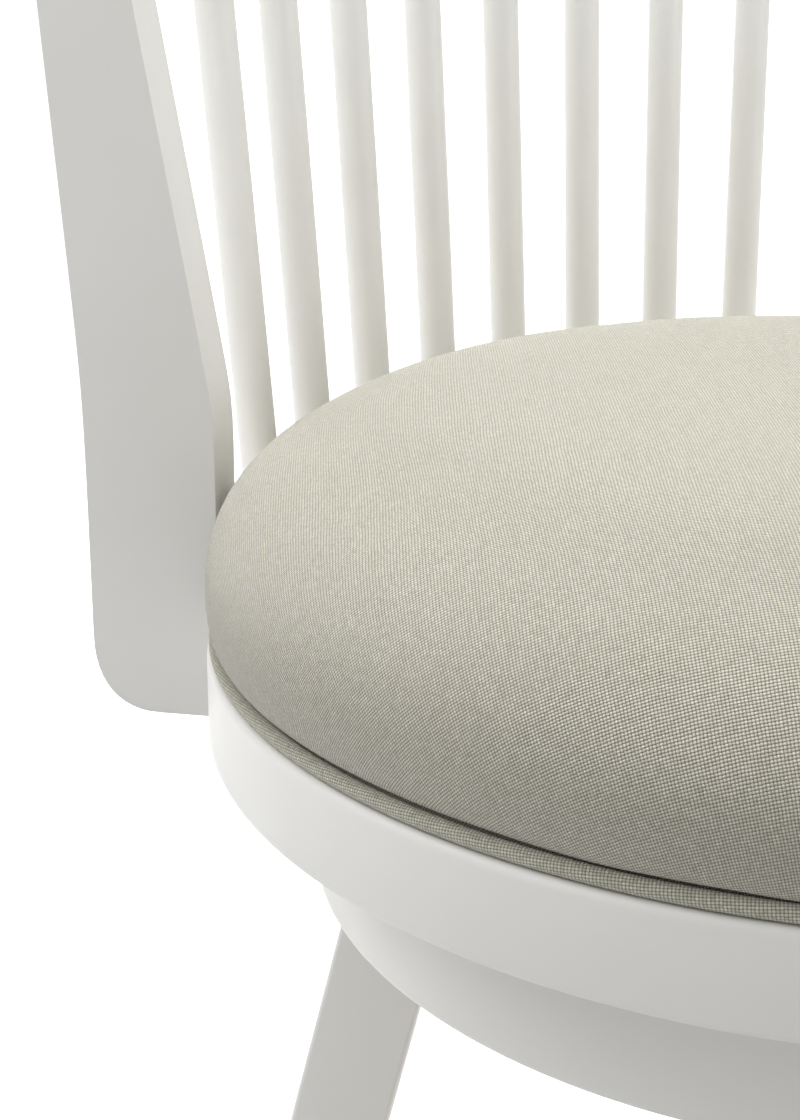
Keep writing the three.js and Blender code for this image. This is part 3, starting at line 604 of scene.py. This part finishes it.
def birch_plywood():
    """Peeled birch faces with long flames of grain, and alternating bands along the edges."""
    material, nodes, links = new_material("birch_plywood")
    shader = nodes["Principled BSDF"]
    shader.inputs["Roughness"].default_value = 0.62
    place = nodes.new("ShaderNodeTexCoord").outputs["Object"]
    flame = add_noise(nodes, links, place, 1, detail=6, stretch=(70, 5, 700), distortion=0.8)
    veneer = add_ramp(nodes, links, flame, 0.3, (0.36, 0.23, 0.115), 0.72, (0.60, 0.44, 0.26))
    # One light and one dark ply to every 3 mm of thickness.
    depth = add_along(nodes, links, place, (0, 0, 1))
    ply = add_math(nodes, links, "MULTIPLY", depth, 2094)
    band = add_range(nodes, links, add_math(nodes, links, "SINE", ply), -0.2, 0.2, 0.72, 1.0)
    normal = nodes.new("ShaderNodeNewGeometry").outputs["Normal"]
    upright = add_math(nodes, links, "ABSOLUTE", add_along(nodes, links, normal, (0, 0, 1)))
    on_face = add_range(nodes, links, upright, 0.4, 0.6, 0, 1)
    shade = add_math(nodes, links, "MAXIMUM", band, on_face)
    links.new(add_darkened(nodes, links, veneer, shade), shader.inputs["Base Color"])
    add_bump(nodes, links, shader, flame, 0.25, 0.0002)
    return material


plywood = birch_plywood()


def finish_cad(material, *names):
    """Gives carried-over CAD nodes a finish."""
    for name in names:
        node = frame["nodes"][name]
        node.data.materials.clear()
        node.data.materials.append(material)


finish_cad(plywood, "base_board")
finish_cad(zinc_plate, *["leg_bolt_" + corner for corner in leg_bearings])

# ---- Swivel ---------------------------------------------------------------------------------
# Two pressed zinc-plated plates with a caged ring of balls between them, clamped by a flanged
# eyelet. The lower plate is screwed to the base's board and the upper one to the seat's.
finish_cad(zinc_plate, "swivel_bottom_plate", "swivel_top_plate", "swivel_eyelet")
finish_cad(stainless, "ball_cage")
for number in range(1, 5):
    finish_cad(zinc_plate, f"swivel_bottom_screw_{number}", f"swivel_top_screw_{number}")

# ---- Seat: ring and boards ------------------------------------------------------------------
# A turned hoop, painted, with a plywood disc let into it. A second, larger disc carries the
# cushion and is screwed on from below.
seat_bore = seat_radius - 0.028
seat_ring = spin_section(
    "seat_ring_painted", seat_bore, seat_radius, ring_foot, ring_top, ring_rounding, steps=180)
place_piece(seat_ring)
finish_piece(seat_ring, white_paint, "white_paint", "seat", "seat_ring")
finish_cad(plywood, "seat_board", "cushion_board")
finish_cad(zinc_plate, "cushion_screw_1", "cushion_screw_2", "cushion_screw_3")
finish_cad(zinc_plate, "rail_screw_left", "rail_screw_right")

# ---- Seat: cushion --------------------------------------------------------------------------
# Moulded foam under a tight plain-woven cover, stapled below its board. It swells a little past
# the ring at its widest, and the two back posts press into its side.
board_low, board_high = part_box("cushion_board")
board_radius = (board_high.x - board_low.x) / 2
cushion_radius = seat_radius + 0.0025
cushion_widest = ring_top + 0.026
cushion_dome = 0.0651
cushion_foot = board_low.z + 0.0055
cushion_foot_radius = seat_radius - 0.0011
dome_power = 0.483
dome_steps = 360
post_thickness = 0.027
post_bearings = {"left": -50, "right": 50}
pressed_width = post_thickness + 0.002
pressed_fade = 0.016
pressed_in = 0.0008
held_height = 0.004
swelling_frames = 20


def cushion_outline(shrink):
    """Points (length, radius, height) from the crown down the dome and under the swell to the
    middle of the underside, where length runs along the outline."""
    points = []
    for step in range(dome_steps + 1):
        turn = math.radians(90 - 90 * step / dome_steps)
        points.append(((cushion_radius - shrink) * max(math.cos(turn), 0) ** dome_power,
                       cushion_widest + (cushion_dome - shrink) * math.sin(turn)))
    swell = cushion_radius - cushion_foot_radius
    for step in range(1, 31):
        turn = math.radians(3 * step)
        points.append((cushion_foot_radius - shrink + swell * math.cos(turn),
                       cushion_widest + (cushion_foot - cushion_widest) * math.sin(turn)))
    points.append((0, cushion_foot))
    outline = [(0.0, 0.0, points[0][1])]
    for (radius, height), (last_radius, last_height) in zip(points[1:], points):
        length = outline[-1][0] + math.hypot(radius - last_radius, height - last_height)
        outline.append((length, radius, height))
    return outline


def read_outline(outline, length):
    """Radius and height at a length along the outline."""
    index = bisect.bisect_left(outline, (length,))
    index = min(max(index, 1), len(outline) - 1)
    (low, *start), (high, *end) = outline[index - 1], outline[index]
    part = min(max((length - low) / max(high - low, 1e-9), 0), 1)
    return [first + (last - first) * part for first, last in zip(start, end)]


def press_posts(piece):
    """Pushes the cushion's side back from the two posts, easing out beside them."""
    for vertex in piece.data.vertices:
        for bearing in post_bearings.values():
            turn = math.radians(bearing)
            out = Vector((math.sin(turn), math.cos(turn), 0))
            beside = abs(vertex.co.x * out.y - vertex.co.y * out.x) - pressed_width / 2
            ease = min(max(beside / pressed_fade, 0), 1)
            limit = seat_radius - pressed_in + 0.006 * ease * ease * (3 - 2 * ease)
            reach = vertex.co.dot(out)
            if reach > limit:
                vertex.co -= out * (reach - limit)


def swell_cushion(piece, cap, settling):
    """Blows the cover up against its own stretch, held along its lower edge, then lets the
    foam behind it even out the small creases."""
    start = [vertex.co.copy() for vertex in piece.data.vertices]
    held = piece.vertex_groups.new(name="held")
    held.add([vertex.index for vertex in piece.data.vertices
              if vertex.co.z < cushion_foot + held_height], 1.0, "REPLACE")
    select_only(piece)
    bpy.ops.object.modifier_add(type="CLOTH")
    cloth = piece.modifiers[-1]
    cloth.settings.use_pressure = True
    cloth.settings.uniform_pressure_force = 4
    cloth.settings.vertex_group_mass = "held"
    cloth.settings.effector_weights.gravity = 0
    cloth.point_cache.frame_start = 1
    cloth.point_cache.frame_end = swelling_frames
    for moment in range(1, swelling_frames + 1):
        bpy.context.scene.frame_set(moment)
    bpy.ops.object.modifier_apply(modifier=cloth.name)
    bpy.context.scene.frame_set(1)
    moves = [vertex.co - origin for vertex, origin in zip(piece.data.vertices, start)]
    moves = [move * min(1, cap / max(move.length, 1e-9)) for move in moves]
    beside = [[] for _ in moves]
    for edge in piece.data.edges:
        first, second = edge.vertices
        beside[first].append(second)
        beside[second].append(first)
    for _ in range(settling):
        moves = [move / 2 + sum((moves[other] for other in others), Vector()) / (2 * len(others))
                 for move, others in zip(moves, beside)]
    for vertex, origin, move in zip(piece.data.vertices, start, moves):
        vertex.co = origin + move
    piece.vertex_groups.clear()


cover_room = 0.0015
bpy.ops.object.select_all(action="DESELECT")
bpy.ops.mesh.primitive_cube_add(size=2, location=(0, 0, 0))
cushion = bpy.context.object
cushion.name = "cushion_upholstered"
bpy.ops.object.mode_set(mode="EDIT")
bpy.ops.mesh.select_all(action="SELECT")
bpy.ops.mesh.subdivide(number_cuts=41)
bpy.ops.object.mode_set(mode="OBJECT")
cushion_start = cushion_outline(cover_room)
for vertex in cushion.data.vertices:
    # The cube's faces are eased so that its squares stay even once they lie round the dome.
    ray = Vector([math.tan(part * math.pi / 4) for part in vertex.co]).normalized()
    from_crown = math.acos(min(max(ray.z, -1), 1)) / math.pi
    radius, height = read_outline(cushion_start, from_crown * cushion_start[-1][0])
    level = Vector((ray.x, ray.y, 0))
    level = level.normalized() * radius if level.length > 1e-6 else level
    vertex.co = (level.x, level.y, height)
press_posts(cushion)
swell_cushion(cushion, cover_room, settling=14)
press_posts(cushion)
add_modifier(cushion, "SUBSURF", levels=1, render_levels=1)
bpy.ops.object.select_all(action="DESELECT")
recess_top = board_high.z + 0.0004
recess_start = cushion_foot - 0.02
bpy.ops.mesh.primitive_cylinder_add(
    vertices=160, radius=board_radius + 0.0006, depth=recess_top - recess_start,
    location=(0, 0, (recess_top + recess_start) / 2))
board_recess = bpy.context.object
add_modifier(cushion, "BOOLEAN", operation="DIFFERENCE", object=board_recess, solver="EXACT")
bpy.data.objects.remove(board_recess)
# The cover's hem runs down behind the welt to be stapled under the board.
hem = spin_section(
    "hem", board_radius + 0.0003, board_radius + 0.001, board_low.z + 0.0005,
    cushion_foot + 0.0004, 0.0002, steps=240)
select_only(cushion)
hem.select_set(True)
bpy.ops.object.join()


def weave_cloth(name, pitches, turn, light, dark, gap_shade):
    """Plain weave on the UV map, in metres: two sets of round yarns that pass over and under
    each other, each with its own tone and thick and thin places, with painted shade in the gaps
    between."""
    material, nodes, links = new_material(name)
    shader = nodes["Principled BSDF"]
    shader.inputs["Roughness"].default_value = 0.9
    shader.inputs["Specular IOR Level"].default_value = 0.15
    shader.inputs["Sheen Weight"].default_value = 0.5
    shader.inputs["Sheen Roughness"].default_value = 0.45
    shader.inputs["Sheen Tint"].default_value = (1.0, 0.985, 0.95, 1)

    def op(operation, *values):
        return add_math(nodes, links, operation, *values)

    uv_map = nodes.new("ShaderNodeUVMap")
    uv_map.uv_map = "weave"
    uv = uv_map.outputs["UV"]
    wander = add_noise(nodes, links, uv, 90)
    drift = op("MULTIPLY", op("SUBTRACT", wander, 0.5), 0.7)
    ways = ((math.cos(turn), math.sin(turn), 0), (-math.sin(turn), math.cos(turn), 0))
    counts, rounds = [], []
    for way, pitch in zip(ways, pitches):
        reach = add_along(nodes, links, uv, way)
        count = op("ADD", op("DIVIDE", reach, pitch), drift)
        counts.append(count)
        rounds.append(op("SINE", op("MULTIPLY", op("FRACT", count), math.pi)))
    numbers = [op("FLOOR", count) for count in counts]
    odd = op("PINGPONG", op("ADD", *numbers), 1)
    heights = []
    for own, other, over in ((0, 1, odd), (1, 0, op("SUBTRACT", 1, odd))):
        side = op("SUBTRACT", op("MULTIPLY", over, 2), 1)
        lift = op("ADD", 0.5, op("MULTIPLY", op("MULTIPLY", side, rounds[other]), 0.5))
        heights.append(op("MULTIPLY", op("POWER", rounds[own], 0.6), lift))
    height = op("MAXIMUM", *heights)

    def yarn_tone(number, lengthwise, seed):
        place = nodes.new("ShaderNodeCombineXYZ")
        links.new(op("MULTIPLY", number, 7.31), place.inputs["X"])
        links.new(op("MULTIPLY", lengthwise, 0.3), place.inputs["Y"])
        place.inputs["Z"].default_value = seed
        return add_noise(nodes, links, place.outputs["Vector"], 1, detail=3)

    choose = nodes.new("ShaderNodeMix")
    links.new(op("GREATER_THAN", *heights), choose.inputs["Factor"])
    links.new(yarn_tone(numbers[1], counts[0], 3.0), choose.inputs["A"])
    links.new(yarn_tone(numbers[0], counts[1], 9.0), choose.inputs["B"])
    yarn = add_ramp(nodes, links, choose.outputs["Result"], 0.3, dark, 0.7, light)
    # Painted shade: the base colour darkens towards gap_shade in the low places between the yarns.
    depth = add_range(nodes, links, height, 0.2, 0.85, gap_shade, 1.0)
    links.new(add_darkened(nodes, links, yarn, depth), shader.inputs["Base Color"])
    fibre = add_noise(nodes, links, uv, 6000)
    relief = op("ADD", height, op("MULTIPLY", fibre, 0.15))
    add_bump(nodes, links, shader, relief, 0.9, 0.0004)
    return material


def unroll_from_crown(piece):
    """UV map in metres: distance over the surface from the crown, in the direction seen there."""
    outline = cushion_outline(0.0)
    lengths = [point[0] for point in outline[:dome_steps + 1]]
    layer = piece.data.uv_layers.get("weave") or piece.data.uv_layers.new(name="weave")
    unrolled = []
    for vertex in piece.data.vertices:
        out = math.hypot(vertex.co.x, vertex.co.y)
        share = min(out / cushion_radius, 1)
        flat_turn = math.acos(share ** (1 / dome_power))
        rise = (vertex.co.z - cushion_widest) / cushion_dome
        steep_turn = math.asin(min(max(rise, -1), 1))
        ease = min(max((share - 0.6) / 0.3, 0), 1)
        ease = ease * ease * (3 - 2 * ease)
        turn = flat_turn * (1 - ease) + steep_turn * ease
        if turn > 0:
            step = (90 - math.degrees(turn)) * dome_steps / 90
            index = min(int(step), dome_steps - 1)
            along = lengths[index] + (step - index) * (lengths[index + 1] - lengths[index])
        else:
            along = lengths[dome_steps] + cushion_widest - vertex.co.z
        bearing = math.atan2(vertex.co.y, vertex.co.x)
        unrolled.append((along * math.cos(bearing), along * math.sin(bearing)))
    for loop in piece.data.loops:
        layer.data[loop.index].uv = unrolled[loop.vertex_index]


while cushion.data.uv_layers:
    cushion.data.uv_layers.remove(cushion.data.uv_layers[0])
unroll_from_crown(cushion)
yarn_pitches = (0.0010, 0.0009)
# The last figure is the painted shade in the gaps between the yarns.
cover = weave_cloth("plain_weave_cover", yarn_pitches, math.radians(150),
                    (0.665, 0.638, 0.543), (0.477, 0.457, 0.371), 0.25)
place_piece(cushion)
finish_piece(cushion, cover, "seat_fabric", "seat", "cushion", smooth=50)

# ---- Seat: welt -----------------------------------------------------------------------------
# A cord wrapped in a bias strip of the same cloth, sewn to the cover's lower edge.
welt_low, welt_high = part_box("cushion_welt")
welt_radius = 0.0026
welt_circle = (welt_high.x - welt_low.x) / 2 - welt_radius
bpy.ops.object.select_all(action="DESELECT")
bpy.ops.mesh.primitive_torus_add(
    major_segments=360, minor_segments=20, major_radius=welt_circle, minor_radius=welt_radius,
    location=(0, 0, (welt_low.z + welt_high.z) / 2), generate_uvs=True)
welt = bpy.context.object
welt.name = "cushion_welt_piped"
welt.data.uv_layers[0].name = "weave"
for loop in welt.data.uv_layers[0].data:
    loop.uv = (loop.uv.x * 2 * math.pi * welt_circle, loop.uv.y * 2 * math.pi * welt_radius)
select_only(welt)
bpy.ops.object.transform_apply(location=True, rotation=True, scale=True)
# The last figure is the painted shade in the gaps between the yarns.
bias_cloth = weave_cloth("plain_weave_welt", yarn_pitches, math.radians(8),
                         (0.71, 0.69, 0.58), (0.465, 0.45, 0.36), 0.25)
place_piece(welt)
finish_piece(welt, bias_cloth, "welt_fabric", "seat", "cushion_welt", smooth=60)

# ---- Back: lower rail -----------------------------------------------------------------------
# A curved rail glued and screwed to the back of the seat ring, ending on the two posts.
rail_inner = seat_radius + joint_gap
rail_outer = rail_inner + 0.0374
post_spread = post_bearings["right"] - post_bearings["left"]
lower_rail = spin_between_boards(
    "lower_back_rail_painted", rail_inner, rail_outer, ring_foot, ring_top, ring_rounding,
    post_spread, post_thickness)
place_piece(lower_rail, 0)
finish_piece(lower_rail, white_paint, "white_paint", "seat", "lower_back_rail")

# ---- Back: spindles -------------------------------------------------------------------------
# Eight straight turned dowels, raked back, with tenons held in the lower rail and the crest.
crest_low, crest_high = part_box("crest_rail")
crest_bottom = crest_low.z
spindle_count = 8
spindle_radius = 0.008
spindle_step = 8.484
rake = 0.0987
tenon_reach = 0.019
tenon_shoulder = 0.003
spindle_circle = seat_radius + 0.0238


def raked_radius(height):
    """Radius of the spindles' circle at a height above the floor."""
    return spindle_circle + rake * (height - ring_top)


spindle_length = (crest_bottom - ring_top) * math.hypot(1, rake)
for number in range(1, spindle_count + 1):
    bpy.ops.object.select_all(action="DESELECT")
    bpy.ops.mesh.primitive_cylinder_add(
        vertices=48, radius=spindle_radius, depth=spindle_length + 2 * tenon_shoulder,
        location=(0, 0, 0))
    spindle = bpy.context.object
    spindle.name = f"spindle_{number}_turned"
    bpy.ops.object.mode_set(mode="EDIT")
    for end in (-1, 1):
        select_faces(spindle, lambda middle, normal: normal.z * end > 0.9)
        bpy.ops.mesh.inset(thickness=0.0006)
        bpy.ops.mesh.extrude_region_move(
            TRANSFORM_OT_translate={"value": (0, 0, end * tenon_reach)})
    bpy.ops.object.mode_set(mode="OBJECT")
    ease_edges(spindle, 0.0005, segments=2, angle=60)
    middle_height = (crest_bottom + ring_top) / 2
    select_only(spindle)
    spindle.rotation_euler = (0, math.atan(rake), 0)
    spindle.location = (raked_radius(middle_height), 0, middle_height)
    bpy.ops.object.transform_apply(location=True, rotation=True, scale=True)
    place_piece(spindle, (number - (spindle_count + 1) / 2) * spindle_step)
    finish_piece(spindle, white_paint, "white_paint", "seat", f"spindle_{number}")

# ---- Back: posts ----------------------------------------------------------------------------
# Flat boards in upright planes through the swivel axis: a broad foot with a rounded heel bolted
# to the seat ring, tapering to a neck that runs with the spindles up to the crest.
post_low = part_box("back_post_left")[0]
post_face = seat_radius + joint_gap
post_foot = 0.050
heel_width = 0.0264
heel_height = 0.031
heel_power = 0.83
heel_steps = 12
blade_steps = 44
bolt_head = 0.005
bolt_seat = post_face + post_foot - 0.005


def soft_bend(distance, blend):
    """Zero before the bend and the distance past it after, rounded over about one blend."""
    return distance if distance > 30 * blend else blend * math.log1p(math.exp(distance / blend))


def post_row(height):
    rise = height - ring_foot
    neck = soft_bend(rise - 0.335, 0.015)
    inner = 0.0006 + 0.175 * soft_bend(rise - 0.104, 0.005) - 0.0763 * neck
    outer = post_foot + 0.0725 * soft_bend(rise - 0.110, 0.012) + 0.0262 * neck
    return height, post_face + inner, post_face + outer


post_rows = []
for step in range(heel_steps + 1):
    turn = math.radians(90 - 90 * step / heel_steps)
    heel_edge = post_face + post_foot - heel_width + heel_width * math.cos(turn) ** heel_power
    heel_rise = heel_height * (1 - math.sin(turn) ** heel_power)
    inner_edge = post_row(post_low.z + heel_rise)[1]
    post_rows.append((post_low.z + heel_rise, inner_edge, heel_edge))
post_span = crest_bottom - joint_gap - post_rows[-1][0]
for step in range(1, blade_steps + 1):
    post_rows.append(post_row(post_rows[heel_steps][0] + step * post_span / blade_steps))
for side, bearing in post_bearings.items():
    post = grow_board("back_post_" + side + "_painted", post_rows, post_thickness)
    ease_edges(post, 0.003, segments=4, angle=50)
    bolts = []
    for number in (1, 2):
        node = f"post_bolt_{side}_{number}"
        bolt_low, bolt_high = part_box(node)
        bolts.append((node, (bolt_low.z + bolt_high.z) / 2))
        bpy.ops.object.select_all(action="DESELECT")
        bpy.ops.mesh.primitive_cylinder_add(
            vertices=40, radius=bolt_head + 0.0005, depth=0.02, rotation=(0, math.pi / 2, 0),
            location=(bolt_seat + 0.01, 0, bolts[-1][1]))
        counterbore = bpy.context.object
        add_modifier(post, "BOOLEAN", operation="DIFFERENCE", object=counterbore, solver="EXACT")
        bpy.data.objects.remove(counterbore)
    place_piece(post, bearing)
    finish_piece(post, white_paint, "white_paint", "seat", "back_post_" + side)
    outwards = at_bearing(1, bearing, 0) - at_bearing(0, bearing, 0)
    for node, height in bolts:
        fit_screw(node, bolt_head, 0.004, 0.003, 0.0673, at_bearing(bolt_seat, bearing, height),
                  outwards, zinc_plate, "steel", "seat")

# ---- Back: crest rail -----------------------------------------------------------------------
# A bent-laminated rail that caps the spindles and posts and leans back with them.
crest_thickness = 0.027
crest_sweep = 110.4
crest_middle = raked_radius(crest_bottom)
crest = spin_section(
    "crest_rail_painted", crest_middle - crest_thickness / 2, crest_middle + crest_thickness / 2,
    crest_bottom, crest_high.z, 0.006, sweep=crest_sweep, steps=120, lean=rake)
ease_edges(crest, 0.005, segments=5, angle=60)
place_piece(crest, 0)
finish_piece(crest, white_paint, "white_paint", "seat", "crest_rail")
